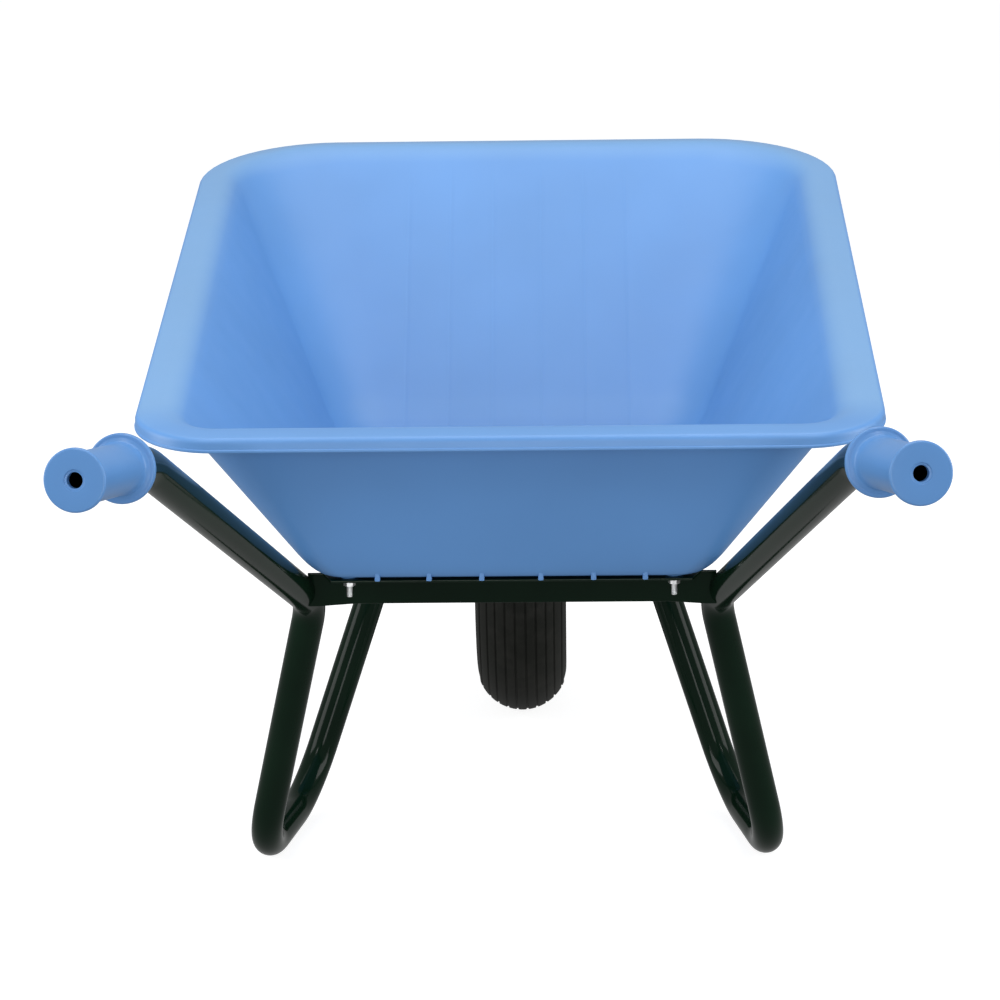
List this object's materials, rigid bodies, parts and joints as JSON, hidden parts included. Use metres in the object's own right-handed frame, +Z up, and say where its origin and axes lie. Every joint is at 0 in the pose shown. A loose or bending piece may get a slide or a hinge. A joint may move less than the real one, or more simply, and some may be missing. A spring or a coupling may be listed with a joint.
{
  "type": "wheelbarrow",
  "caption": "Wheelbarrow with a light blue moulded plastic pan and grips, a dark green bent steel tube frame with loop legs, and a black ribbed pneumatic tyre.",
  "frame": {"origin": "on the ground, under the centre of the overall bounding box", "axes": "+Y from the handles to the wheel, +Z up, +X to the right seen from behind the handles"},
  "size_m": [0.736, 1.5445, 0.6688],
  "materials": {
    "pan_plastic": "satin",
    "grip_plastic": "satin",
    "frame_paint": "gloss",
    "zinc_steel": "bright zinc plate",
    "tyre_rubber": "matte",
    "butyl_rubber": "matte",
    "rim_paint": "satin",
    "bush_nylon": "satin",
    "cap_plastic": "matte"
  },
  "bodies": {
    "frame": {"pan": "pan_plastic", "left_frame_tube": "frame_paint", "right_frame_tube": "frame_paint", "nose_sleeve": "frame_paint", "left_grip": "grip_plastic", "right_grip": "grip_plastic", "rear_strut": "frame_paint", "front_strut": "frame_paint", "rear_pan_bolts": "zinc_steel", "rear_pan_washers": "zinc_steel", "rear_pan_nuts": "zinc_steel", "front_pan_bolts": "zinc_steel", "front_pan_washers": "zinc_steel", "front_pan_nuts": "zinc_steel", "left_axle_plate": "frame_paint", "right_axle_plate": "frame_paint", "axle": "zinc_steel", "axle_nuts": "zinc_steel", "axle_washers": "zinc_steel", "axle_spacers": "zinc_steel"},
    "wheel": {"tyre": "tyre_rubber", "inner_tube": "butyl_rubber", "left_rim": "rim_paint", "right_rim": "rim_paint", "hub_tube": "rim_paint", "left_bush": "bush_nylon", "right_bush": "bush_nylon", "rim_bolts": "zinc_steel", "rim_nuts": "zinc_steel", "valve_stem": "butyl_rubber", "valve_cap": "cap_plastic"}
  },
  "joints": [
    {"name": "wheel_spin", "type": "hinge", "parent": "frame", "child": "wheel", "pos_m": [0, 0.506, 0.2], "axis": [1, 0, 0], "continuous": true}
  ]
}
